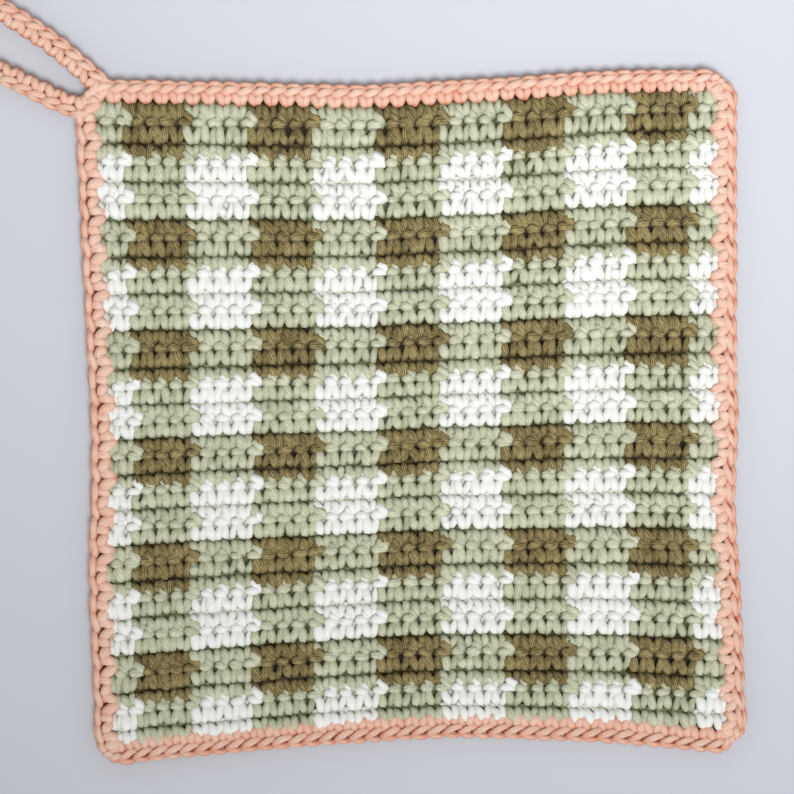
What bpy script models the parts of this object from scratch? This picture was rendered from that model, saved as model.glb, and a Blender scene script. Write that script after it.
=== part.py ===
# A crocheted pot holder lying on its back: a ribbed panel of single crochet in rows, one round of
# edging around it and a hanging loop at its top left corner. Metres, +Z up, underside at Z = 0.
# Everything is placed from the panel's centre, and the whole is then moved so that the middle of
# its box is at X = Y = 0.

import bmesh
import bpy
from math import cos, pi, radians, sin
from mathutils import Vector

MM = 0.001
JOIN = 0.001 * MM  # points nearer than this are one

# The rim is the edging's outer line. These are the corners that its sides would meet at if they
# weren't rounded, and how far each side is drawn in along its way: the edging is tighter than the
# panel, so the top and the bottom are hollow, and no side is quite even.
CORNERS_MM = {
    "top_left": (-107.0, 110.6),
    "top_right": (105.8, 110.4),
    "bottom_right": (104.5, -110.6),
    "bottom_left": (-104.9, -110.4),
}
SIDES = {  # first corner, last corner, (share of the way, millimetres drawn in)
    "top": ("top_left", "top_right", ((0, 0), (0.15, 1.2), (0.30, 2.5), (0.43, 3.7), (0.50, 3.3),
                                      (0.65, 2.2), (0.80, 0.5), (0.92, 0.0), (1, 0))),
    "right": ("top_right", "bottom_right", ((0, 0), (0.10, 0.1), (0.30, 0.7), (0.43, 1.1), (0.52, 1.0),
                                            (0.63, 2.3), (0.75, 1.2), (0.90, 0.2), (1, 0))),
    "bottom": ("bottom_right", "bottom_left", ((0, 0), (0.08, 1.3), (0.20, 4.2), (0.35, 6.1),
                                               (0.45, 6.9), (0.57, 6.2), (0.72, 4.4), (0.88, 2.2), (1, 0))),
    "left": ("bottom_left", "top_left", ((0, 0), (0.15, -0.2), (0.27, -0.5), (0.40, 1.0), (0.50, 1.6),
                                         (0.65, 1.0), (0.80, 0.3), (0.92, -0.1), (1, 0))),
}
CORNER_REACH = 10 * MM  # how far each side the rounding of a corner starts; its tightest radius is 7 mm
RIM_STEP = 7 * MM
CORNER_STEPS = 6

EDGING_WIDTH = 5.5 * MM
SEAM_GAP = 0.3 * MM
# The edging's section, from its outer side inwards: the lying braid of its stitch tops, the valley
# behind the braid, and the legs that reach over the panel.
EDGING_SECTION_MM = ((0.0, 1.9), (0.0, 3.6), (0.8, 5.0), (1.9, 5.6), (3.0, 5.0), (4.3, 5.5),
                     (5.5, 4.7), (5.5, 0.7), (4.7, 0.0), (0.9, 0.0))

ROW_COUNT = 35
PANEL_THICKNESS = 5.4 * MM
PANEL_CORNER_RADIUS = 3.3 * MM
COLUMN_STEPS = 15
FIRST_COLUMN = 3.5 * MM  # a column of points this near each side lets the corners be round
PLACE_ROUNDS = 4  # each brings a point nearer to its place between the sides
# Where the points lie down one row, and how far each lies in from the crown. Rows are worked to and
# fro, so they show their legs and their bars by turns. The bars stand highest, along a bar row's upper
# edge, and each leg row starts in the deep groove under the bar row above it. The underside is the
# same fabric turned over, so each row has the other kind's relief there, and it lies on its bars.
ROW_POINTS = (0.0, 0.28, 0.76)
FRONT_LEG_ROW_MM = (1.3, 0.25, 0.45)
FRONT_BAR_ROW_MM = (0.0, 0.35, 0.3)
UNDER_LEG_ROW_MM = (0.0, 0.0, 0.3)
UNDER_BAR_ROW_MM = (1.3, 0.3, 0.25)
UNEVEN_MM = 0.18  # the slow rise and fall of the front
UNEVEN_HALF_WAVES = (2.3, 1.7)  # across and down the panel

LOOP_WIDTH_MM = 6.6
LOOP_HEIGHT_MM = 5.6
LOOP_UPPER_MM = ((-93.0, 104.0), (-101.5, 111.2), (-112.5, 121.1), (-127.7, 131.6))
LOOP_LOWER_MM = ((-130.7, 113.1), (-112.9, 104.1), (-104.0, 100.2), (-96.0, 97.0))
LOOP_END_CENTRE_MM = (-143.0, 128.5)
LOOP_END_RADIUS_MM = 10.0
LOOP_DIRECTION = radians(148.3)  # of the loop's middle line, from the corner outwards
LOOP_END_POINTS = 5
LOOP_STEPS = 7  # between two of the route's points
LOOP_SIDES = 12
CUTTER_REACH = 20 * MM  # above and below the table


def clear_scene():
    for obj in list(bpy.data.objects):
        bpy.data.objects.remove(obj, do_unlink=True)


def yarn_material(name, colour):
    material = bpy.data.materials.new(name)
    material.use_nodes = True
    shader = material.node_tree.nodes["Principled BSDF"]
    shader.inputs["Base Color"].default_value = (*colour, 1.0)
    shader.inputs["Roughness"].default_value = 0.9
    shader.inputs["Metallic"].default_value = 0.0
    material.diffuse_color = (*colour, 1.0)
    return material


def add_object(name, mesh, material, parent):
    obj = bpy.data.objects.new(name, mesh)
    bpy.context.scene.collection.objects.link(obj)
    mesh.materials.clear()
    mesh.materials.append(material)
    obj.parent = parent
    return obj


def curve_through(before, start, end, after, share):
    """A smooth value or point between start and end, by the Catmull-Rom rule."""
    return 0.5 * (
        2 * start
        + (end - before) * share
        + (2 * before - 5 * start + 4 * end - after) * share**2
        + (3 * start - before - 3 * end + after) * share**3
    )


def drawn_in(pulls, share):
    """How far a side is drawn in at this share of its way, in metres."""
    last = len(pulls) - 2
    i = next((k for k in range(last) if share < pulls[k + 1][0]), last)
    start, end = pulls[i], pulls[i + 1]
    before, after = pulls[max(i - 1, 0)], pulls[min(i + 2, last + 1)]
    local = (share - start[0]) / (end[0] - start[0])
    return MM * curve_through(before[1], start[1], end[1], after[1], local)


def side_point(side, share, inset=0.0):
    """A point on one side of the rim, or the same side inset towards the panel's middle."""
    first, last, pulls = SIDES[side]
    start = Vector(CORNERS_MM[first]) * MM
    end = Vector(CORNERS_MM[last]) * MM
    along = (end - start).normalized()
    inward = Vector((along.y, -along.x))
    return start.lerp(end, share) + inward * (drawn_in(pulls, share) + inset)


def rim_outline(outset=0.0):
    """The closed outline of the rim, clockwise from the top left, or one a little outside it."""
    points = []
    for side, following in zip(SIDES, [*list(SIDES)[1:], "top"]):
        first, last, _ = SIDES[side]
        length = (Vector(CORNERS_MM[last]) - Vector(CORNERS_MM[first])).length * MM
        trim = CORNER_REACH / length
        steps = round(length / RIM_STEP)
        for step in range(steps + 1):
            points.append(side_point(side, trim + (1 - 2 * trim) * step / steps, -outset))
        corner = Vector(CORNERS_MM[last]) * MM
        corner += corner.normalized() * outset * 2**0.5
        corner_start = side_point(side, 1 - trim, -outset)
        corner_end = side_point(following, trim, -outset)
        for step in range(1, CORNER_STEPS):
            share = step / CORNER_STEPS
            points.append(corner_start.lerp(corner, share).lerp(corner.lerp(corner_end, share), share))
    return points


def swept_mesh(name, route, section, cyclic):
    """The mesh of a section carried along a level route. The section's X lies to the route's right."""
    path = bpy.data.curves.new(name + "_path", "CURVE")
    path.dimensions = "2D"
    path.fill_mode = "NONE"
    profile = bpy.data.curves.new(name + "_profile", "CURVE")
    profile.dimensions = "2D"
    profile.fill_mode = "NONE"
    for curve, points, closed in ((path, route, cyclic), (profile, section, True)):
        spline = curve.splines.new("POLY")
        spline.points.add(len(points) - 1)
        spline.use_cyclic_u = closed
        for point, place in zip(spline.points, points):
            point.co = (*place, 0.0, 1.0)
    profile_object = bpy.data.objects.new(profile.name, profile)
    path_object = bpy.data.objects.new(path.name, path)
    for obj in (profile_object, path_object):
        bpy.context.scene.collection.objects.link(obj)
    path.bevel_mode = "OBJECT"
    path.bevel_object = profile_object
    path.use_fill_caps = not cyclic
    bpy.context.view_layer.update()
    mesh = bpy.data.meshes.new_from_object(path_object.evaluated_get(bpy.context.evaluated_depsgraph_get()))
    mesh.name = name
    bpy.data.objects.remove(path_object)
    bpy.data.objects.remove(profile_object)
    shape = bmesh.new()
    shape.from_mesh(mesh)
    bmesh.ops.remove_doubles(shape, verts=shape.verts[:], dist=JOIN)
    bmesh.ops.recalc_face_normals(shape, faces=shape.faces[:])
    shape.to_mesh(mesh)
    shape.free()
    return mesh


def soften(mesh, angle=40):
    mesh.shade_smooth()
    mesh.set_sharp_from_angle(angle=radians(angle))


def share_along(side, value, axis):
    """The share of a side's way at which its X (axis 0) or Y (axis 1) has this value."""
    first, last, _ = SIDES[side]
    start = CORNERS_MM[first][axis] * MM
    end = CORNERS_MM[last][axis] * MM
    return min(max((value - start) / (end - start), 0.0), 1.0)


def panel_place(across, down):
    """A point of the panel from its shares across and down, between its four uneven sides."""
    inset = EDGING_WIDTH + SEAM_GAP
    shares = {"top": across, "bottom": 1 - across, "left": 1 - down, "right": down}
    for _ in range(PLACE_ROUNDS):
        at = {side: side_point(side, share, inset) for side, share in shares.items()}
        x = at["left"].x + (at["right"].x - at["left"].x) * across
        y = at["top"].y + (at["bottom"].y - at["top"].y) * down
        for side in shares:
            axis = 0 if side in ("top", "bottom") else 1
            shares[side] = share_along(side, (x, y)[axis], axis)
    return Vector((x, y))


def round_panel_corner(place, across, down):
    """Pulls a point at the panel's corner onto an arc, so that it clears the edging's round corner."""
    side_x = -1 if across < 0.5 else 1
    side_y = 1 if down < 0.5 else -1
    corner = panel_place(0 if side_x < 0 else 1, 0 if side_y > 0 else 1)
    centre = corner - Vector((side_x, side_y)) * PANEL_CORNER_RADIUS
    out = place - centre
    if out.x * side_x > 0 and out.y * side_y > 0 and out.length > PANEL_CORNER_RADIUS:
        return centre + out.normalized() * PANEL_CORNER_RADIUS
    return place


def crochet_panel(material, parent):
    downs, front, underside = [], [], []
    for row in range(ROW_COUNT):
        legs_show = row % 2 == 0
        front += FRONT_LEG_ROW_MM if legs_show else FRONT_BAR_ROW_MM
        underside += UNDER_LEG_ROW_MM if legs_show else UNDER_BAR_ROW_MM
        downs += [(row + share) / ROW_COUNT for share in ROW_POINTS]
    downs.append(1.0)
    front.append(FRONT_LEG_ROW_MM[1])
    underside.append(UNDER_LEG_ROW_MM[1])
    width = panel_place(1, 0.5).x - panel_place(0, 0.5).x
    margin = FIRST_COLUMN / width
    inner = [margin + (1 - 2 * margin) * k / COLUMN_STEPS for k in range(COLUMN_STEPS + 1)]
    acrosses = [0.0, *inner, 1.0]

    shape = bmesh.new()
    bmesh.ops.create_grid(shape, x_segments=len(acrosses) - 1, y_segments=len(downs) - 1, size=1.0)
    columns = len(acrosses)
    lines = len(downs)
    grown = bmesh.ops.extrude_face_region(shape, geom=shape.faces[:])
    front_points = {item for item in grown["geom"] if isinstance(item, bmesh.types.BMVert)}
    for vert in shape.verts:
        column = round((vert.co.x + 1) / 2 * (columns - 1))
        line = lines - 1 - round((vert.co.y + 1) / 2 * (lines - 1))
        across = acrosses[column]
        down = downs[line]
        place = round_panel_corner(panel_place(across, down), across, down)
        if vert in front_points:
            swell = sin(pi * UNEVEN_HALF_WAVES[0] * across) * cos(pi * UNEVEN_HALF_WAVES[1] * down)
            height = PANEL_THICKNESS - front[line] * MM + UNEVEN_MM * MM * swell
        else:
            height = underside[line] * MM
        vert.co = (*place, height)
    bmesh.ops.recalc_face_normals(shape, faces=shape.faces[:])
    mesh = bpy.data.meshes.new("crochet_panel")
    shape.to_mesh(mesh)
    shape.free()
    soften(mesh)
    return add_object("crochet_panel", mesh, material, parent)


def crochet_edging(material, parent):
    section = [(across * MM, up * MM) for across, up in EDGING_SECTION_MM]
    mesh = swept_mesh("crochet_edging", rim_outline(), section, cyclic=True)
    soften(mesh)
    return add_object("crochet_edging", mesh, material, parent)


def loop_route():
    """The loop's middle line: out along its upper leg, round its end and back along its lower leg."""
    centre = Vector(LOOP_END_CENTRE_MM)
    turn = [LOOP_DIRECTION - pi / 2 + pi * k / (LOOP_END_POINTS - 1) for k in range(LOOP_END_POINTS)]
    end = [centre + Vector((cos(angle), sin(angle))) * LOOP_END_RADIUS_MM for angle in turn]
    knots = [*map(Vector, LOOP_UPPER_MM), *end, *map(Vector, LOOP_LOWER_MM)]
    knots = [knots[0] * 2 - knots[1], *knots, knots[-1] * 2 - knots[-2]]
    route = []
    for k in range(1, len(knots) - 2):
        for step in range(LOOP_STEPS):
            route.append(curve_through(*knots[k - 1 : k + 3], step / LOOP_STEPS) * MM)
    return [*route, knots[-2] * MM]


def loop_section():
    """An ellipse of flat sides, the lowest of them lying at Z = 0."""
    lowest = cos(pi / LOOP_SIDES)
    points = []
    for k in range(LOOP_SIDES):
        angle = 2 * pi * (k + 0.5) / LOOP_SIDES - pi / 2
        across = LOOP_WIDTH_MM / 2 * cos(angle)
        up = LOOP_HEIGHT_MM / 2 * (lowest + sin(angle))
        points.append((across * MM, up * MM))
    return points


def corner_cutter():
    """The edging's outline, a seam's width outside it, as a tall block for trimming the loop's ends."""
    shape = bmesh.new()
    base = shape.faces.new([shape.verts.new((*point, -CUTTER_REACH)) for point in rim_outline(SEAM_GAP)])
    grown = bmesh.ops.extrude_face_region(shape, geom=[base])
    raised = [item for item in grown["geom"] if isinstance(item, bmesh.types.BMVert)]
    bmesh.ops.translate(shape, verts=raised, vec=(0, 0, 2 * CUTTER_REACH))
    bmesh.ops.recalc_face_normals(shape, faces=shape.faces[:])
    mesh = bpy.data.meshes.new("loop_cutter")
    shape.to_mesh(mesh)
    shape.free()
    cutter = bpy.data.objects.new("loop_cutter", mesh)
    bpy.context.scene.collection.objects.link(cutter)
    cutter.hide_render = True
    cutter.display_type = "WIRE"
    return cutter


def hanging_loop(material, parent):
    mesh = swept_mesh("hanging_loop", loop_route(), loop_section(), cyclic=False)
    soften(mesh)
    loop = add_object("hanging_loop", mesh, material, parent)
    trim = loop.modifiers.new("trim", "BOOLEAN")
    trim.operation = "DIFFERENCE"
    trim.object = corner_cutter()
    trim.object.parent = parent
    return loop


def centre_on_origin(root, pieces):
    """Moves the root so that the middle of the whole box is at X = Y = 0."""
    bpy.context.view_layer.update()
    graph = bpy.context.evaluated_depsgraph_get()
    places = []
    for piece in pieces:
        mesh = piece.evaluated_get(graph).to_mesh()
        places += [vert.co.copy() for vert in mesh.vertices]
    for axis in (0, 1):
        values = [place[axis] for place in places]
        root.location[axis] = -(min(values) + max(values)) / 2


def main():
    clear_scene()
    root = bpy.data.objects.new("pot_holder", None)
    bpy.context.scene.collection.objects.link(root)
    sage = yarn_material("sage_cotton", (0.33, 0.40, 0.27))
    coral = yarn_material("coral_cotton", (0.76, 0.35, 0.23))
    panel = crochet_panel(sage, root)
    edging = crochet_edging(coral, root)
    loop = hanging_loop(coral, root)
    centre_on_origin(root, (panel, edging, loop))


main()
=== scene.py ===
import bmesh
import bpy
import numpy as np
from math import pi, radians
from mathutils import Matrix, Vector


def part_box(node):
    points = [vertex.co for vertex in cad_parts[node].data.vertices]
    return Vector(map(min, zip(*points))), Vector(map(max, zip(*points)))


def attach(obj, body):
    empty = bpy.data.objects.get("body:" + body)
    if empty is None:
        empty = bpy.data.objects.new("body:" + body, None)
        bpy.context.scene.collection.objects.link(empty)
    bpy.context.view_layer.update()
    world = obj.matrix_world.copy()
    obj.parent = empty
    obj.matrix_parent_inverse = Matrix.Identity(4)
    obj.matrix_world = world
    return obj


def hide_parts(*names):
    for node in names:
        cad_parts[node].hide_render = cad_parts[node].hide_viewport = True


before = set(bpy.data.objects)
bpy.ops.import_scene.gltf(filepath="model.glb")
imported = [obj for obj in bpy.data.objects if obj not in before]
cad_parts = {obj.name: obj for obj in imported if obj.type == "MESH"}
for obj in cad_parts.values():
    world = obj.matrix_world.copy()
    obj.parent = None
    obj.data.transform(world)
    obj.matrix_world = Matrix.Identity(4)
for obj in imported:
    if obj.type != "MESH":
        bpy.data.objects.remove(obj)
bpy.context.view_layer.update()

# A crocheted cotton pot holder that lies on its back on a pale table, seen from straight above.
# Every stitch is one length of yarn that follows its real way through the fabric, so the front and
# the underside both come out as they are worked. Sizes here are in millimetres, on axes from the
# middle of the panel, and addYarn turns them to the frame's metres. The light's are in metres.

mm = 0.001
fabricMiddle = 2.85  # height of the panel's middle over the table
chance = np.random.default_rng(11)  # the same unevenness every time

# The shape of the whole. These are the numbers of the part's source, but the top side's right end
# is about 1 mm lower, as a closer look at the photograph showed it.
rim = {
    "corners": {"topLeft": (-107.0, 110.6), "topRight": (105.8, 110.4),
                "bottomRight": (104.5, -110.6), "bottomLeft": (-104.9, -110.4)},
    # first corner, last corner, (share of the way, how far the side is drawn in)
    "sides": {
        "top": ("topLeft", "topRight", ((0, 0), (0.15, 1.2), (0.30, 2.5), (0.43, 3.7), (0.50, 3.3),
                                        (0.65, 2.2), (0.80, 0.8), (0.92, 0.9), (1, 1.2))),
        "right": ("topRight", "bottomRight", ((0, 0), (0.10, 0.1), (0.30, 0.7), (0.43, 1.1), (0.52, 1.0),
                                              (0.63, 2.3), (0.75, 1.2), (0.90, 0.2), (1, 0))),
        "bottom": ("bottomRight", "bottomLeft", ((0, 0), (0.08, 1.3), (0.20, 4.2), (0.35, 6.1), (0.45, 6.9),
                                                 (0.57, 6.2), (0.72, 4.4), (0.88, 2.2), (1, 0))),
        "left": ("bottomLeft", "topLeft", ((0, 0), (0.15, -0.2), (0.27, -0.5), (0.40, 1.0), (0.50, 1.6),
                                           (0.65, 1.0), (0.80, 0.3), (0.92, -0.1), (1, 0))),
    },
    "cornerReach": 10.0,  # how far each side a corner's rounding starts
    "panelInset": 5.8,  # from the outer line to the panel
    "placeRounds": 4,  # each brings a point of the panel nearer to its place between the sides
}


def through(before, start, end, after, share):
    # a smooth value between start and end, by the Catmull-Rom rule
    return 0.5 * (2 * start + (end - before) * share + (2 * before - 5 * start + 4 * end - after) * share**2
                  + (3 * start - before - 3 * end + after) * share**3)


def drawnIn(pulls, share):
    # a smooth value at this share from a list of (share, value)
    shares, depths = np.array(pulls, float).T
    last = len(pulls) - 1
    i = np.clip(np.searchsorted(shares, share, "right") - 1, 0, last - 1)
    local = (share - shares[i]) / (shares[i + 1] - shares[i])
    near = [depths[np.clip(i + k, 0, last)] for k in (-1, 0, 1, 2)]
    return through(*near, local)


def sidePoint(side, share, inset=0.0):
    # a point on a side's outer line, or this far inside it
    first, last, pulls = rim["sides"][side]
    start, end = np.array(rim["corners"][first]), np.array(rim["corners"][last])
    along = (end - start) / np.linalg.norm(end - start)
    inward = np.array((along[1], -along[0]))
    share = np.asarray(share, float)[..., None]
    return start + (end - start) * share + inward * (drawnIn(pulls, share) + inset)


def sideLength(side):
    # straight from corner to corner
    first, last, _ = rim["sides"][side]
    return np.linalg.norm(np.subtract(rim["corners"][last], rim["corners"][first]))


def shareAlong(side, value, axis):
    # the share of a side's way where its x or its y has this value
    first, last, _ = rim["sides"][side]
    start, end = rim["corners"][first][axis], rim["corners"][last][axis]
    return np.clip((value - start) / (end - start), 0, 1)


def panelPlace(across, down):
    # a point of the panel from its shares across and down, between the four uneven sides
    shares = {"top": across, "bottom": 1 - across, "left": 1 - down, "right": down}
    for _ in range(rim["placeRounds"]):
        at = {side: sidePoint(side, share, rim["panelInset"]) for side, share in shares.items()}
        x = at["left"][..., 0] + (at["right"][..., 0] - at["left"][..., 0]) * across
        y = at["top"][..., 1] + (at["bottom"][..., 1] - at["top"][..., 1]) * down
        shares = {side: shareAlong(side, y, 1) if side in ("left", "right") else shareAlong(side, x, 0)
                  for side in shares}
    return np.stack((x, y), axis=-1)


def sideTrim(side):
    # the share of a side's way that its corner's rounding takes
    return rim["cornerReach"] / sideLength(side)


def cornerPoint(side, following, share, inset):
    # a point on the rounding between a side and the one that follows it
    start = sidePoint(side, 1 - sideTrim(side), inset)
    end = sidePoint(following, sideTrim(following), inset)
    corner = np.array(rim["corners"][rim["sides"][side][1]])
    corner = corner * (1 - inset * 2**0.5 / np.linalg.norm(corner))
    share = np.asarray(share, float)[..., None]
    return (1 - share) ** 2 * start + 2 * share * (1 - share) * corner + share**2 * end


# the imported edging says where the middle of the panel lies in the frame
sidePoints = 30  # on each side, enough to find how far the outline reaches
outline = np.concatenate([sidePoint(side, np.linspace(sideTrim(side), 1 - sideTrim(side), sidePoints))
                          for side in rim["sides"]])
edgingLow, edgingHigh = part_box("crochet_edging")
panelMiddle = [(edgingLow[k] + edgingHigh[k]) / 2 / mm - (outline[:, k].min() + outline[:, k].max()) / 2
               for k in (0, 1)]
print("placed: middle of the panel at", [round(value, 2) for value in panelMiddle], "mm")


def addObject(name, data):
    made = bpy.data.objects.new(name, data)
    bpy.context.scene.collection.objects.link(made)
    return made


# The camera looks straight down and is turned a little, as the photograph was taken.
view = {
    "aim": (-5.26, 6.30), "roll": 1.2,  # degrees
    "height": 620.0, "width": 255.3,  # over the table, and of the part of it that shows
    "sensor": 36.0,
}

cameraData = bpy.data.cameras.new("camera")
cameraData.sensor_width = view["sensor"]
cameraData.lens = view["sensor"] * view["height"] / view["width"]
camera = addObject("camera", cameraData)
camera.location = (*[(view["aim"][k] + panelMiddle[k]) * mm for k in (0, 1)], view["height"] * mm)
camera.rotation_euler = (0, 0, radians(-view["roll"]))
bpy.context.scene.camera = camera
print("camera:", view["height"], "mm up, lens", round(cameraData.lens, 1), "mm")


# Materials
def linear(hexColour):
    # an sRGB hex colour as the linear one that Blender takes
    values = [int(hexColour[k:k + 2], 16) / 255 for k in (0, 2, 4)]
    return (*[v / 12.92 if v <= 0.04045 else ((v + 0.055) / 1.055) ** 2.4 for v in values], 1.0)


def addNode(tree, kind, inputs=None, **settings):
    # adds a node, and sets or links its inputs
    made = tree.nodes.new(kind)
    for name, value in settings.items():
        setattr(made, name, value)
    for name, value in (inputs or {}).items():
        if isinstance(value, bpy.types.NodeSocket):
            tree.links.new(value, made.inputs[name])
        else:
            made.inputs[name].default_value = value
    return made


def newMaterial(name, roughness):
    material = bpy.data.materials.new(name)
    material.use_nodes = True
    shader = material.node_tree.nodes["Principled BSDF"]
    shader.inputs["Roughness"].default_value = roughness
    return material, material.node_tree, shader


# Combed cotton yarn, loosely twisted: matt, with thin plies and fine streaks of fibres that wind slowly
# round it, a faint bloom at its edges, and a dye that took a little unevenly. The real plies are too
# fine to show, so they are drawn coarser. Towards the fabric's middle the colour is darkened with
# painted shade, where the stitches shade each other's depths.
yarnFinish = {
    "roughness": 0.9, "sheen": 0.06, "sheenRoughness": 0.5, "specular": 0.06,
    "plies": 14, "turnLength": 34.0,  # for one full turn of the twist
    "streakLength": 5.5,  # along the yarn
    "streaksRound": 4.2, "streakDetail": 3.0,  # how fine they are round it, and how ragged
    "patchSize": 7.0, "patchDetail": 2.0,  # of the paler and darker patches of the dye
    "plyShare": 0.14, "patchShare": 0.45,  # how much these count beside the streaks
    "darkest": 0.52, "lightest": 0.94,  # sums of the three where the fibres are darkest and lightest
    "reliefStrength": 0.6, "reliefHeight": 0.4,
    "deep": (0.2, 3.3),  # from the fabric's middle, where the painted shade is darkest and where it ends
}


def cottonYarn(name, light, dark, keeps, stitchLength):
    # light colour, the depths' painted shade, and how much of the light colour the darkest fibres keep
    material, tree, shader = newMaterial(name, yarnFinish["roughness"])
    shader.inputs["Sheen Weight"].default_value = yarnFinish["sheen"]
    shader.inputs["Sheen Roughness"].default_value = yarnFinish["sheenRoughness"]
    shader.inputs["Specular IOR Level"].default_value = yarnFinish["specular"]
    # a stitch's UV map runs along its yarn and round it
    where = addNode(tree, "ShaderNodeTexCoord")
    along = addNode(tree, "ShaderNodeSeparateXYZ", {0: where.outputs["UV"]})
    around = addNode(tree, "ShaderNodeMath", {0: along.outputs["Y"], 1: 2 * pi}, operation="MULTIPLY")
    twist = addNode(tree, "ShaderNodeMath", {
        0: along.outputs["X"], 1: 2 * pi * stitchLength / yarnFinish["turnLength"],
        2: around.outputs["Value"]}, operation="MULTIPLY_ADD")
    twistX = addNode(tree, "ShaderNodeMath", {0: twist.outputs["Value"]}, operation="COSINE")
    twistY = addNode(tree, "ShaderNodeMath", {0: twist.outputs["Value"]}, operation="SINE")
    length = addNode(tree, "ShaderNodeMath", {
        0: along.outputs["X"], 1: stitchLength / yarnFinish["streakLength"]}, operation="MULTIPLY")
    wound = addNode(tree, "ShaderNodeCombineXYZ", {
        "X": twistX.outputs["Value"], "Y": twistY.outputs["Value"], "Z": length.outputs["Value"]})
    streaks = addNode(tree, "ShaderNodeTexNoise", {
        "Vector": wound.outputs["Vector"], "Scale": yarnFinish["streaksRound"],
        "Detail": yarnFinish["streakDetail"]})
    plyTurn = addNode(tree, "ShaderNodeMath", {
        0: twist.outputs["Value"], 1: yarnFinish["plies"]}, operation="MULTIPLY")
    plies = addNode(tree, "ShaderNodeMath", {0: plyTurn.outputs["Value"]}, operation="SINE")
    patch = addNode(tree, "ShaderNodeTexNoise", {
        "Vector": where.outputs["Object"], "Scale": 1 / (yarnFinish["patchSize"] * mm),
        "Detail": yarnFinish["patchDetail"]})
    relief = addNode(tree, "ShaderNodeMath", {
        0: plies.outputs["Value"], 1: yarnFinish["plyShare"], 2: streaks.outputs["Fac"]},
        operation="MULTIPLY_ADD")
    shade = addNode(tree, "ShaderNodeMath", {
        0: patch.outputs["Fac"], 1: yarnFinish["patchShare"], 2: relief.outputs["Value"]},
        operation="MULTIPLY_ADD")
    fibres = addNode(tree, "ShaderNodeMapRange", {
        "Value": shade.outputs["Value"], "From Min": yarnFinish["darkest"],
        "From Max": yarnFinish["lightest"], "To Min": keeps, "To Max": 1.0})
    # painted shade: the nearer to the middle of the fabric, the darker, where the stitches shade the depths
    height = addNode(tree, "ShaderNodeSeparateXYZ", {0: where.outputs["Object"]})
    over = addNode(tree, "ShaderNodeMath", {
        0: height.outputs["Z"], 1: fabricMiddle * mm}, operation="SUBTRACT")
    away = addNode(tree, "ShaderNodeMath", {0: over.outputs["Value"]}, operation="ABSOLUTE")
    depth = addNode(tree, "ShaderNodeMapRange", {
        "Value": away.outputs["Value"], "From Min": yarnFinish["deep"][0] * mm,
        "From Max": yarnFinish["deep"][1] * mm}, interpolation_type="SMOOTHSTEP")
    amount = addNode(tree, "ShaderNodeMath", {
        0: fibres.outputs["Result"], 1: depth.outputs["Result"]}, operation="MULTIPLY")
    colour = addNode(tree, "ShaderNodeMix", {
        "Factor": amount.outputs["Value"], 6: linear(dark), 7: linear(light)}, data_type="RGBA")
    bump = addNode(tree, "ShaderNodeBump", {
        "Height": relief.outputs["Value"], "Strength": yarnFinish["reliefStrength"],
        "Distance": yarnFinish["reliefHeight"] * mm})
    tree.links.new(colour.outputs[2], shader.inputs["Base Color"])
    tree.links.new(bump.outputs["Normal"], shader.inputs["Normal"])
    return material


# Lengths of yarn
yarnShape = {
    "flatness": 0.78,  # height of the yarn's section beside its width
    "resolution": 1,  # makes the section six-sided
    "overTable": 0.03,
    "joined": 1e-4,  # points nearer than this are one
}
# 1 mm in the knots' own measures: stitches across, rows up and millimetres deep
knotMillimetre = np.array((0.2, 0.17, 1.0))


def smoothing(steps):
    # the matrix that turns a stitch's knots into the points of a smooth line
    rows = np.eye(len(steps) + 1)
    last = len(steps)
    made = [through(rows[max(i - 1, 0)], rows[i], rows[i + 1], rows[min(i + 2, last)], k / count)
            for i, count in enumerate(steps) for k in range(count)]
    return np.array([*made, rows[last]])


def addYarn(name, places, sizes, material, node):
    # places: lengths of yarn x points x 3, and sizes the yarn's radius at each point
    curve = bpy.data.curves.new(name, "CURVE")
    curve.dimensions = "3D"
    curve.bevel_depth = mm
    curve.bevel_resolution = yarnShape["resolution"]
    curve.use_fill_caps = True
    # the yarn lies flatter than it is wide, and the table carries it
    places = places + np.array((*panelMiddle, 0.0))
    places[..., 2] = np.maximum(places[..., 2] / yarnShape["flatness"], sizes + yarnShape["overTable"])
    for line, radii in zip(places, sizes):
        spline = curve.splines.new("POLY")
        spline.points.add(len(line) - 1)
        spline.points.foreach_set("co", np.column_stack((line * mm, np.ones(len(line)))).ravel())
        spline.points.foreach_set("radius", radii)
    guide = addObject(name + "Guide", curve)
    bpy.context.view_layer.update()
    mesh = bpy.data.meshes.new_from_object(guide.evaluated_get(bpy.context.evaluated_depsgraph_get()))
    bpy.data.objects.remove(guide)
    shape = bmesh.new()
    shape.from_mesh(mesh)
    bmesh.ops.remove_doubles(shape, verts=shape.verts[:], dist=yarnShape["joined"] * mm)
    bmesh.ops.scale(shape, verts=shape.verts[:], vec=(1, 1, yarnShape["flatness"]))
    shape.to_mesh(mesh)
    shape.free()
    mesh.shade_smooth()
    mesh.materials.clear()
    mesh.materials.append(material)
    mesh.name = name
    piece = addObject(name, mesh)
    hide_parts(node)
    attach(piece, "root")
    triangles = sum(len(polygon.vertices) - 2 for polygon in mesh.polygons)
    print(f"{name}: {len(places)} stitches, {triangles} triangles")
    return piece


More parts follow.
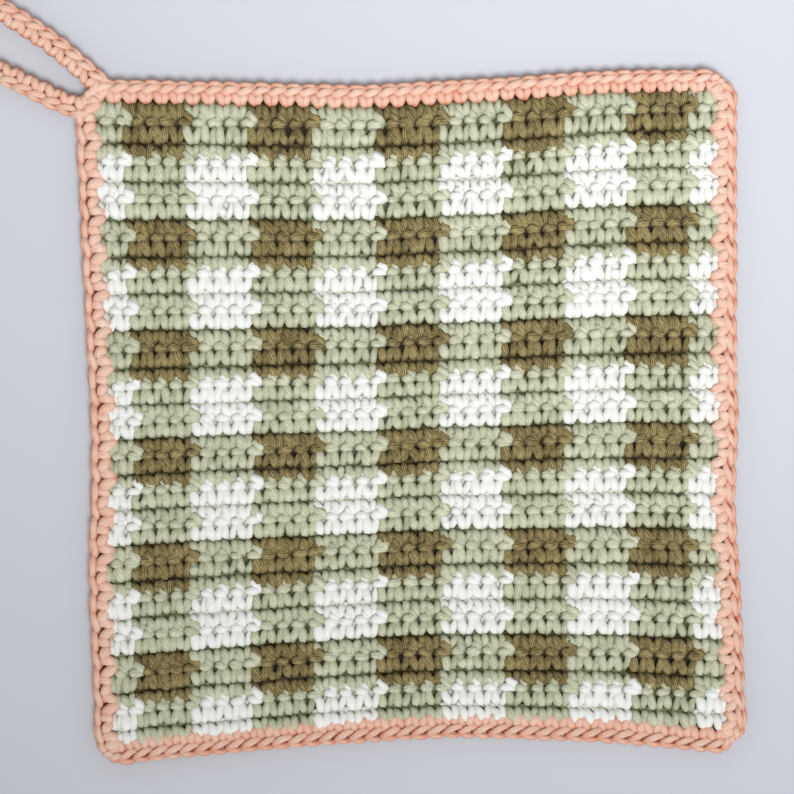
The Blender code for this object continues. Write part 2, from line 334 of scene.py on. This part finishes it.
# The panel: rows of single crochet, worked to and fro. Even rows, from 0 at the top, show their legs
# on the front, and odd rows their bars.
panel = {
    "columns": 40, "rows": 35,
    # (rows down, how many rows the fabric lies below even spacing)
    "rowDrift": ((-2, 0.05), (0, 0.20), (1.5, 0.54), (4, 0.61), (8, 0.69), (12, 0.65), (15, 0.70),
                 (18, 0.47), (24, 0.20), (28, 0.10), (35, 0.06), (37, 0.05)),
    # (rows down, how many rows the right side is lifted), the share across where that starts, its curve
    "rightLift": ((-2, 0.17), (0, 0.17), (5, 0.34), (12, 0.36), (24, 0.38), (37, 0.30)),
    "liftFrom": 0.62, "liftCurve": 1.5,
    # share of the way down, and there (share across, how many stitches to the right of even spacing)
    "columnDrift": {
        0.10: ((0, 0.10), (0.14, 0.0), (0.35, 0.06), (0.60, 0.22), (0.85, 0.10), (1, 0)),
        0.33: ((0, 0.05), (0.14, -0.12), (0.35, -0.08), (0.55, -0.02), (0.80, 0.04), (1, 0)),
        0.45: ((0, 0), (0.14, -0.33), (0.35, -0.22), (0.55, -0.20), (0.80, -0.10), (1, 0)),
        0.52: ((0, 0), (0.14, -0.35), (0.35, -0.25), (0.55, -0.30), (0.80, -0.20), (1, 0)),
        0.70: ((0, 0), (0.14, -0.28), (0.35, -0.20), (0.55, -0.05), (0.80, 0.06), (1, 0)),
        0.80: ((0, 0), (0.14, -0.34), (0.35, -0.33), (0.55, -0.10), (0.80, -0.02), (1, 0)),
        0.90: ((0, 0), (0.14, -0.50), (0.28, -0.62), (0.45, -0.52), (0.65, -0.26), (0.85, -0.24), (1, 0)),
    },
    # stitches and rows in one block of the check, and how many stitches of the first one are left out
    "block": 4, "blockRows": 3, "blockStart": 2,
    "sageSplit": 17,  # the row where the sage stitches' second piece starts, to keep each piece light
    "barShift": 0.04,  # how far the holes of a bar row stand to the left, in stitches
    # from how many stitches off the sides they are squeezed, to what share of their reach and depth
    "edgeHold": 0.40, "edgeSqueeze": 0.3, "edgeDepth": 0.15,
    "topHold": 0.45,  # rows off the top, for the depth alone
    "uneven": 0.20, "unevenAcross": 0.035, "unevenRadius": 0.08,  # mm, stitches, share of the radius
    "stitchLength": 44.0,  # of yarn in one stitch
    # light colour, the depths' painted shade, and how much of the light colour the darkest fibres keep
    "white": ("e3e3dd", "d9d7cb", 0.76),
    "sage": ("d1d1b6", "5f6538", 0.50),
    "olive": ("a89868", "2f2200", 0.15),
}

# One stitch as a bar row shows it, worked to the right. Across is in stitches from the hole it is
# worked into, up is in rows from there, and depth in millimetres from the fabric's middle towards
# the eye. A leg row is the same seen from its other side.
# across, up, depth, radius, points up to the next knot
stitchPath = (
    (-0.75, 1.02, 0.10, 0.95, 1),  # from the last stitch's head
    (-0.40, 0.88, 1.05, 1.30, 2),
    (-0.30, 0.56, 1.65, 1.72, 3),  # first leg, the wider one
    (-0.20, 0.25, 1.60, 1.64, 1),
    (-0.11, 0.05, 0.00, 0.88, 1),  # through the hole
    (-0.07, 0.18, -0.60, 1.05, 1),
    (-0.10, 0.42, -1.55, 1.45, 2),
    (-0.13, 0.62, -1.70, 1.50, 2),  # upright leg of the far side
    (-0.15, 0.80, -1.30, 1.30, 1),
    (0.00, 0.94, 0.00, 0.90, 1),
    (0.18, 0.99, 0.20, 1.10, 1),
    (0.21, 1.03, 1.40, 1.25, 1),
    (0.31, 1.06, 2.35, 1.48, 1),
    (0.46, 1.07, 2.60, 1.55, 1),  # bar
    (0.61, 1.06, 2.35, 1.48, 1),
    (0.71, 1.03, 1.40, 1.25, 1),
    (0.73, 0.98, 0.20, 1.10, 1),
    (0.65, 0.90, 0.00, 0.90, 1),
    (0.48, 0.79, -1.25, 1.35, 2),
    (0.35, 0.57, -1.70, 1.72, 2),  # slanting leg of the far side
    (0.24, 0.34, -1.50, 1.62, 1),
    (0.15, 0.15, -0.50, 1.10, 1),
    (0.11, 0.02, 0.00, 0.88, 1),  # back through the hole
    (0.19, 0.22, 1.40, 1.34, 2),
    (0.29, 0.50, 1.65, 1.45, 3),  # second leg
    (0.39, 0.84, 1.10, 1.20, 1),
    (0.36, 1.06, 0.10, 0.95, 1),
    (0.43, 1.34, 0.90, 1.15, 1),  # near strand of its head, pulled up between the next row's feet
    (0.53, 1.44, 1.85, 1.38, 1),
    (0.68, 1.27, 2.15, 1.42, 1),
    (0.86, 1.06, 0.80, 1.05, 1),
    (0.76, 1.04, -0.40, 0.95, 1),  # far strand
    (0.46, 1.06, -0.45, 0.95, 1),
    (0.25, 1.04, 0.10, 0.95, 0),
)
# What the last stitch of a block does in a bar row, where the yarns change: its bar and head run on
# to the right in a point. Knot of the path, and what is added to its across, up and depth.
blockEnd = {14: (0.06, 0.0, 0.1), 15: (0.14, 0.0, 0.3), 16: (0.18, 0.0, 0.3), 27: (0.02, 0.08, 0.4),
            28: (0.06, 0.06, 0.5), 29: (0.18, 0.0, 0.4), 30: (0.18, 0.0, 0.6)}


def rowPlace(across, down):
    # a point of the panel from its share across and its count of rows down
    lift = np.clip((across - panel["liftFrom"]) / (1 - panel["liftFrom"]), 0, 1)
    lift = lift ** panel["liftCurve"] * drawnIn(panel["rightLift"], down)
    down = (down + drawnIn(panel["rowDrift"], down) - lift) / panel["rows"]
    levels = list(panel["columnDrift"])
    drifts = [drawnIn(line, np.clip(across, 0, 1)) for line in panel["columnDrift"].values()]
    drift = drifts[0]
    for k in range(1, len(levels)):
        share = np.clip((down - levels[k - 1]) / (levels[k] - levels[k - 1]), 0, 1)
        drift = drift + (drifts[k] - drifts[k - 1]) * share
    return panelPlace(across + drift / panel["columns"], down)


def panelStitches(rows, columns):
    # the places and sizes of these stitches, one row of each array for each stitch
    path = np.array(stitchPath)
    soften = smoothing(path[:-1, 4].astype(int))
    barRow = (rows % 2 == 1)[:, None]
    across = np.where(barRow, path[:, 0] - panel["barShift"], panel["barShift"] - path[:, 0])
    depth = np.where(barRow, path[:, 2], -path[:, 2])
    knots = np.stack((across, np.broadcast_to(path[:, 1], across.shape), depth), axis=-1)
    lastOfBlock = ((columns + panel["blockStart"] + 1) % panel["block"] == 0)[:, None]
    for k, added in blockEnd.items():
        knots[:, k] += (barRow & lastOfBlock) * np.array(added)
    knots = knots + chance.normal(0, 1, knots.shape) * panel["uneven"] * knotMillimetre
    knots[..., 0] += chance.normal(0, panel["unevenAcross"], (len(rows), 1))
    sizes = path[:, 3] * (1 + chance.normal(0, panel["unevenRadius"], (len(rows), 1)))
    knots, sizes = soften @ knots, sizes @ soften.T
    # what reaches past the first or the last column is held back, under the edging
    count = columns[:, None] + 0.5 + knots[..., 0]
    for edge, outwards in ((panel["edgeHold"], -1), (panel["columns"] - panel["edgeHold"], 1)):
        count = np.where((count - edge) * outwards > 0, edge + (count - edge) * panel["edgeSqueeze"], count)
    down = rows[:, None] + 1 - knots[..., 1]
    place = rowPlace(count / panel["columns"], down)
    # and it lies flatter there and along the top, inside the edging's stitches
    inside = np.minimum(count, panel["columns"] - count) / panel["edgeHold"]
    inside = np.clip(np.minimum(inside, down / panel["topHold"]), 0, 1)
    height = fabricMiddle + knots[..., 2] * (panel["edgeDepth"] + (1 - panel["edgeDepth"]) * inside)
    return np.concatenate((place, height[..., None]), axis=-1), sizes


def checkColour(rows, columns):
    # gingham: one colour where two light stripes cross, one where two dark ones do, and sage between
    even = (columns + panel["blockStart"]) // panel["block"] % 2 == 0
    dark = rows // panel["blockRows"] % 2 == 0
    return np.where(dark, np.where(even, "sage", "olive"), np.where(even, "white", "sage"))


yarns = {name: cottonYarn(name + "CottonYarn", *panel[name], panel["stitchLength"])
         for name in ("white", "sage", "olive")}
print("materials:", ", ".join(yarns), "cotton yarn")
rowOf, columnOf = (grid.ravel() for grid in np.mgrid[0:panel["rows"], 0:panel["columns"]])
colourOf = checkColour(rowOf, columnOf)
for pieceName, colourName, firstRow, endRow in (
        ("whiteStitches", "white", 0, panel["rows"]),
        ("oliveStitches", "olive", 0, panel["rows"]),
        ("sageStitchesUpper", "sage", 0, panel["sageSplit"]),
        ("sageStitchesLower", "sage", panel["sageSplit"], panel["rows"])):
    chosen = (colourOf == colourName) & (rowOf >= firstRow) & (rowOf < endRow)
    places, sizes = panelStitches(rowOf[chosen], columnOf[chosen])
    addYarn(pieceName, places, sizes, yarns[colourName], "crochet_panel")

# The edging: one round of single crochet in coral, its head turned up on the front.
edging = {
    # light colour, the depths' painted shade, and how much of the light colour the darkest fibres keep
    "coral": ("e2cab8", "d37341", 0.46),
    "alongTop": 40, "alongSide": 35,  # stitches
    # from the rim's outer line to the stitches' outer line, and to the holes they are worked into
    "outerInset": {"top": 0.3, "right": 0.0, "bottom": 0.2, "left": 0.6},
    "holeInset": {"top": 7.5, "right": 7.5, "bottom": 8.5, "left": 7.6},
    "longAndShort": 1.1,  # that the holes of the left and the right side lie in and out by turns
    # a corner's stitches: their shares of its rounding, how far it lies inside the rim's own, and
    # their hole's inset along both sides, with the share of the way to the next hole that parts them
    "cornerShares": (0.36, 0.64),
    "cornerInset": {"topLeft": 2.6, "topRight": 2.6, "bottomRight": 2.6, "bottomLeft": 1.6},
    "cornerHole": 7.0, "cornerParting": 0.12,
    # how wide the head lies open, how many rows further out it lies and how full its strands are, and
    # how wide the two legs of a tooth part, how many millimetres higher they lie and how full they are
    "looks": {
        "top": {"headSpread": 0.82, "headOut": 0.0, "headFull": 1.0,
                "toothSpread": 1.0, "toothLift": 0.0, "toothFull": 1.0},
        "right": {"headSpread": 0.80, "headOut": 0.0, "headFull": 0.80,
                  "toothSpread": 1.22, "toothLift": 0.6, "toothFull": 1.18},
        "bottom": {"headSpread": 0.95, "headOut": 0.0, "headFull": 0.85,
                   "toothSpread": 1.0, "toothLift": 0.0, "toothFull": 1.05},
        "left": {"headSpread": 0.36, "headOut": 0.10, "headFull": 0.84,
                 "toothSpread": 1.22, "toothLift": 0.6, "toothFull": 1.22},
        "corner": {"headSpread": 0.60, "headOut": 0.04, "headFull": 0.90,
                   "toothSpread": 1.0, "toothLift": 0.0, "toothFull": 1.0},
    },
    "outerLine": 1.58,  # rows up from the hole to the outer line
    "middleHeight": 2.75,
    "uneven": 0.12, "unevenRadius": 0.04,
    "stitchLength": 44.0,
    "overlap": 3,  # points that are repeated at both ends, which closes the round
}

# As the panel's stitch, but seen from the front as it is worked, to the left along the top.
edgingPath = (
    (-0.75, 1.06, 0.00, 0.90, 1),
    (-0.42, 0.86, -1.15, 1.15, 2),
    (-0.27, 0.50, -1.70, 1.35, 2),  # first leg of the underside
    (-0.22, 0.16, -1.30, 1.25, 1),
    (-0.10, -0.02, 0.00, 0.85, 1),  # through the hole
    (-0.13, 0.03, 0.95, 1.10, 1),
    (-0.18, 0.20, 1.75, 1.42, 2),  # tooth that reaches over the panel
    (-0.25, 0.46, 1.70, 1.50, 2),
    (-0.22, 0.74, 0.80, 1.20, 1),
    (0.00, 0.98, -0.20, 0.90, 1),
    (0.13, 1.04, -0.80, 1.05, 1),
    (0.28, 1.05, -1.60, 1.25, 1),
    (0.45, 1.05, -1.80, 1.30, 1),  # bar of the underside
    (0.62, 1.04, -1.60, 1.25, 1),
    (0.76, 1.02, -0.80, 1.05, 1),
    (0.66, 0.94, -0.10, 0.90, 1),
    (0.42, 0.70, 0.80, 1.20, 2),
    (0.26, 0.44, 1.75, 1.55, 2),  # the tooth's other leg, the fatter one
    (0.12, 0.17, 1.75, 1.48, 1),
    (0.07, 0.02, 0.95, 1.10, 1),
    (0.08, -0.02, 0.00, 0.85, 1),
    (0.21, 0.18, -1.30, 1.22, 2),
    (0.26, 0.52, -1.60, 1.30, 2),
    (0.33, 0.86, -1.15, 1.10, 1),
    (0.02, 1.10, 0.50, 0.95, 1),
    (0.18, 1.10, 1.85, 1.20, 1),  # inner strand of the head
    (0.58, 0.90, 2.55, 1.42, 2),
    (1.02, 0.70, 2.00, 1.30, 1),
    (1.30, 0.86, 0.40, 0.95, 1),
    (1.12, 1.24, 0.40, 0.95, 1),  # outer strand
    (0.80, 1.36, 1.35, 1.12, 2),
    (0.42, 1.33, 1.85, 1.16, 1),
    (0.10, 1.20, 1.70, 1.05, 1),
    (-0.06, 1.12, 0.30, 0.90, 0),
)
headKnots, headMiddle = slice(25, 33), 1.10  # rows up
toothKnots, toothMiddle = [5, 6, 7, 8, 16, 17, 18, 19], 0.03  # stitches across


def between(points, count):
    # a point on the smooth line through these points, at this count of them
    i = np.floor(count).astype(int)
    last = len(points) - 1
    near = [points[np.clip(i + k, 0, last)] for k in (-1, 0, 1, 2)]
    return through(*near, (count - i)[..., None])


def bandStitches(outer, inner, counts, settings, looks):
    # Stitches at these counts of a band's outer and inner points, with a look for each. They are
    # worked against the points' order.
    look = {name: np.array([[each[name]] for each in looks]) for name in looks[0]}
    path = np.array(edgingPath)
    soften = smoothing(path[:-1, 4].astype(int))
    knots = np.tile(path[:, :3], (len(counts), 1, 1))
    knots[:, headKnots, 1] = headMiddle + (knots[:, headKnots, 1] - headMiddle) * look["headSpread"]
    knots[:, headKnots, 1] += look["headOut"]
    knots[:, toothKnots, 0] = toothMiddle + (knots[:, toothKnots, 0] - toothMiddle) * look["toothSpread"]
    knots[:, toothKnots, 2] += look["toothLift"]
    knots = knots + chance.normal(0, 1, knots.shape) * settings["uneven"] * knotMillimetre
    sizes = path[:, 3] * (1 + chance.normal(0, settings["unevenRadius"], (len(counts), 1)))
    sizes[:, toothKnots] *= look["toothFull"]
    sizes[:, headKnots] *= look["headFull"]
    knots, sizes = soften @ knots, sizes @ soften.T
    at = counts[:, None] - knots[..., 0]
    place = between(inner, at) * (1 - knots[..., 1:2] / settings["outerLine"])
    place = place + between(outer, at) * knots[..., 1:2] / settings["outerLine"]
    height = settings["middleHeight"] + knots[..., 2]
    return np.concatenate((place, height[..., None]), axis=-1), sizes


outerPoints, innerPoints, looks = [], [], []
sides = list(rim["sides"])
for side, following in zip(sides, [*sides[1:], sides[0]]):
    count = edging["alongTop"] if side in ("top", "bottom") else edging["alongSide"]
    start = rim["panelInset"] / sideLength(side)
    shares = start + (1 - 2 * start) * (np.arange(count) + 0.5) / count
    inset = np.full(count, edging["holeInset"][side])
    if side in ("left", "right"):
        inset += edging["longAndShort"] * (-1) ** np.arange(count)
    outerPoints += list(sidePoint(side, shares, edging["outerInset"][side]))
    innerPoints += [sidePoint(side, share, depth) for share, depth in zip(shares, inset)]
    looks += [edging["looks"][side]] * count
    # a corner's stitches go into nearly one hole, the first on this side of it, the last beyond it
    cornerName = rim["sides"][side][1]
    corner = np.array(rim["corners"][cornerName])
    hole = corner - np.sign(corner) * edging["cornerHole"]
    before = innerPoints[-1] - hole
    beyond = np.abs(before[::-1]) * -np.sign(corner)
    for share, way in zip(edging["cornerShares"], (before, beyond)):
        outerPoints.append(cornerPoint(side, following, share, edging["cornerInset"][cornerName]))
        innerPoints.append(hole + way * edging["cornerParting"])
        looks.append(edging["looks"]["corner"])
ring = [np.array([*points[-edging["overlap"]:], *points, *points[:edging["overlap"]]])
        for points in (outerPoints, innerPoints)]
coralYarn = cottonYarn("coralCottonYarn", *edging["coral"], edging["stitchLength"])
print("material: coral cotton yarn")
places, sizes = bandStitches(*ring, np.arange(len(looks)) + edging["overlap"], edging, looks)
edgingPiece = addYarn("edgingStitches", places, sizes, coralYarn, "crochet_edging")

# The hanging loop: the same stitch, narrower, worked round a chain.
loop = {
    # the middle line's knots, out along the upper leg and back along the lower one
    "upperLeg": ((-93.0, 104.0), (-101.5, 111.2), (-112.5, 121.1), (-127.7, 131.6)),
    "lowerLeg": ((-130.7, 113.1), (-112.9, 104.1), (-104.0, 100.2), (-96.0, 97.0)),
    # its round end: middle, radius, the way it points in degrees, and its knots
    "endCentre": (-143.0, 128.5), "endRadius": 10.0, "direction": 148.3, "endPoints": 5,
    "routePoints": 400,
    "pitch": 5.1, "from": 0.4, "to": 138.5,  # one stitch, and where the stitches start and end
    "width": 7.4, "holeDepth": 0.9,  # of the band, and from its inner side to the holes
    "outerLine": 1.5, "middleHeight": 3.0,
    "uneven": 0.10, "unevenRadius": 0.04,
    "look": {"headSpread": 0.76, "headOut": 0.0, "headFull": 0.86,
             "toothSpread": 1.35, "toothLift": 0.0, "toothFull": 1.04},
}

turn = radians(loop["direction"]) + np.linspace(-pi / 2, pi / 2, loop["endPoints"])
loopEnd = np.array(loop["endCentre"]) + loop["endRadius"] * np.stack((np.cos(turn), np.sin(turn)), axis=-1)
knots = np.concatenate((loop["upperLeg"], loopEnd, loop["lowerLeg"]))
# up to just before the last knot
route = between(knots, np.linspace(0, len(knots) - 1.001, loop["routePoints"]))
steps = np.linalg.norm(np.diff(route, axis=0), axis=1)
distance = np.concatenate(([0], np.cumsum(steps)))
print("loop's middle line:", round(distance[-1], 1), "mm long")
stops = np.arange(loop["from"], loop["to"], loop["pitch"])[::-1]
line = np.stack([np.interp(stops, distance, route[:, k]) for k in (0, 1)], axis=-1)
ahead = np.gradient(line, axis=0)
ahead /= np.linalg.norm(ahead, axis=1)[:, None]
outwards = np.stack((-ahead[:, 1], ahead[:, 0]), axis=-1)
outer = line + outwards * loop["width"] / 2
inner = line - outwards * (loop["width"] / 2 - loop["holeDepth"])
counts = np.arange(1, len(line) - 1)
places, sizes = bandStitches(outer, inner, counts, loop, [loop["look"]] * len(counts))
loopPiece = addYarn("loopStitches", places, sizes, coralYarn, "hanging_loop")

# Inside the stitches: the yarns that are carried along each row until their next block. They show
# only as the dark ground of the deepest gaps, so a plain sheet stands for them, in the check's colours
# darkened into painted shade.
carried = {
    "thickness": 0.8,
    "margin": 0.35,  # stitches off the panel's sides
    "top": -0.3,  # rows down from the panel's top
    "white": "d6d6cd", "sage": "585a3c", "olive": "241b0c",  # painted shade: the check's colours as dark as the stitches' depths
}


def carriedYarn(name):
    # matt cotton in the check's colours darkened into painted shade, its check worked out from a UV map
    # that counts stitches across and rows down
    material, tree, shader = newMaterial(name, yarnFinish["roughness"])
    where = addNode(tree, "ShaderNodeTexCoord")
    count = addNode(tree, "ShaderNodeSeparateXYZ", {0: where.outputs["UV"]})
    odd = []
    for axis, size, start in (("X", panel["block"], panel["blockStart"]), ("Y", panel["blockRows"], 0)):
        block = addNode(tree, "ShaderNodeMath", {
            0: count.outputs[axis], 1: 1 / size, 2: start / size}, operation="MULTIPLY_ADD")
        whole = addNode(tree, "ShaderNodeMath", {0: block.outputs["Value"]}, operation="FLOOR")
        odd.append(addNode(tree, "ShaderNodeMath", {0: whole.outputs["Value"], 1: 2.0}, operation="MODULO"))
    darkRows, lightRows = (addNode(tree, "ShaderNodeMix", {
        "Factor": odd[0].outputs["Value"], 6: linear(carried[evenBlock]), 7: linear(carried[oddBlock])},
        data_type="RGBA") for evenBlock, oddBlock in (("sage", "olive"), ("white", "sage")))
    colour = addNode(tree, "ShaderNodeMix", {
        "Factor": odd[1].outputs["Value"], 6: darkRows.outputs[2], 7: lightRows.outputs[2]},
        data_type="RGBA")
    tree.links.new(colour.outputs[2], shader.inputs["Base Color"])
    return material


# a grid of one face for each stitch, from 0 to 1 across and down, is laid along the rows
shape = bmesh.new()
bmesh.ops.create_grid(shape, x_segments=panel["columns"], y_segments=panel["rows"], size=0.5, calc_uvs=False)
shape.verts.index_update()
counting = shape.loops.layers.uv.new("UVMap")
at = np.array([vert.co[:2] for vert in shape.verts]) * (1, -1) + 0.5
at[:, 0] = carried["margin"] + at[:, 0] * (panel["columns"] - 2 * carried["margin"])
at[:, 1] = carried["top"] + at[:, 1] * (panel["rows"] - 1)
places = rowPlace(at[:, 0] / panel["columns"], at[:, 1]) + panelMiddle
for face in shape.faces:
    for corner in face.loops:
        corner[counting].uv = at[corner.vert.index]
for vert, place in zip(shape.verts, places):
    vert.co = (place[0] * mm, place[1] * mm, (fabricMiddle - carried["thickness"] / 2) * mm)
carriedMesh = bpy.data.meshes.new("carriedYarns")
shape.to_mesh(carriedMesh)
shape.free()
carriedMesh.materials.append(carriedYarn("carriedCottonYarnsPaintedShade"))
carriedYarns = addObject("carriedYarns", carriedMesh)
thicken = carriedYarns.modifiers.new("thickness", "SOLIDIFY")
thicken.thickness = carried["thickness"] * mm
thicken.offset = 1.0  # all of it upwards
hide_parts("crochet_panel")
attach(carriedYarns, "root")
print("carriedYarns:", len(carriedMesh.polygons), "faces before the sheet gets its thickness")

# The table, the light and the sky, in metres.
stage = {
    "table": "bdbfc3", "tableSize": 6.0, "tableRoughness": 0.9,
    # a soft spotlight from the lower right, aimed past the pot holder's top side
    "key": {"place": (0.20, -0.38, 1.18), "aim": (0.14, 0.28, 0.0), "radius": 0.32,
            "beam": 54.0, "blend": 1.0, "power": 91.0, "colour": "f5f8ff"},
    "sky": "f2f2f3", "skyStrength": 0.62,
}

shape = bmesh.new()
bmesh.ops.create_grid(shape, x_segments=1, y_segments=1, size=stage["tableSize"] / 2)
floorMesh = bpy.data.meshes.new("floor")
shape.to_mesh(floorMesh)
shape.free()
floor = addObject("floor", floorMesh)
# smooth matt paint, which shows nothing but the soft shadows
paint, _, shader = newMaterial("matt white table paint", stage["tableRoughness"])
shader.inputs["Base Color"].default_value = linear(stage["table"])
floorMesh.materials.append(paint)

keyData = bpy.data.lights.new("key", "SPOT")
keyData.shadow_soft_size = stage["key"]["radius"]
keyData.spot_size = radians(stage["key"]["beam"])
keyData.spot_blend = stage["key"]["blend"]
keyData.energy = stage["key"]["power"]
keyData.color = linear(stage["key"]["colour"])[:3]
key = addObject("key", keyData)
key.location = stage["key"]["place"]
beam = Vector(stage["key"]["aim"]) - Vector(stage["key"]["place"])
key.rotation_euler = beam.to_track_quat("-Z", "Y").to_euler()

world = bpy.data.worlds.new("sky")
world.use_nodes = True
background = world.node_tree.nodes["Background"]
background.inputs["Color"].default_value = linear(stage["sky"])
background.inputs["Strength"].default_value = stage["skyStrength"]
bpy.context.scene.world = world
bpy.context.scene.view_settings.view_transform = "Standard"
print("table, light and sky set")
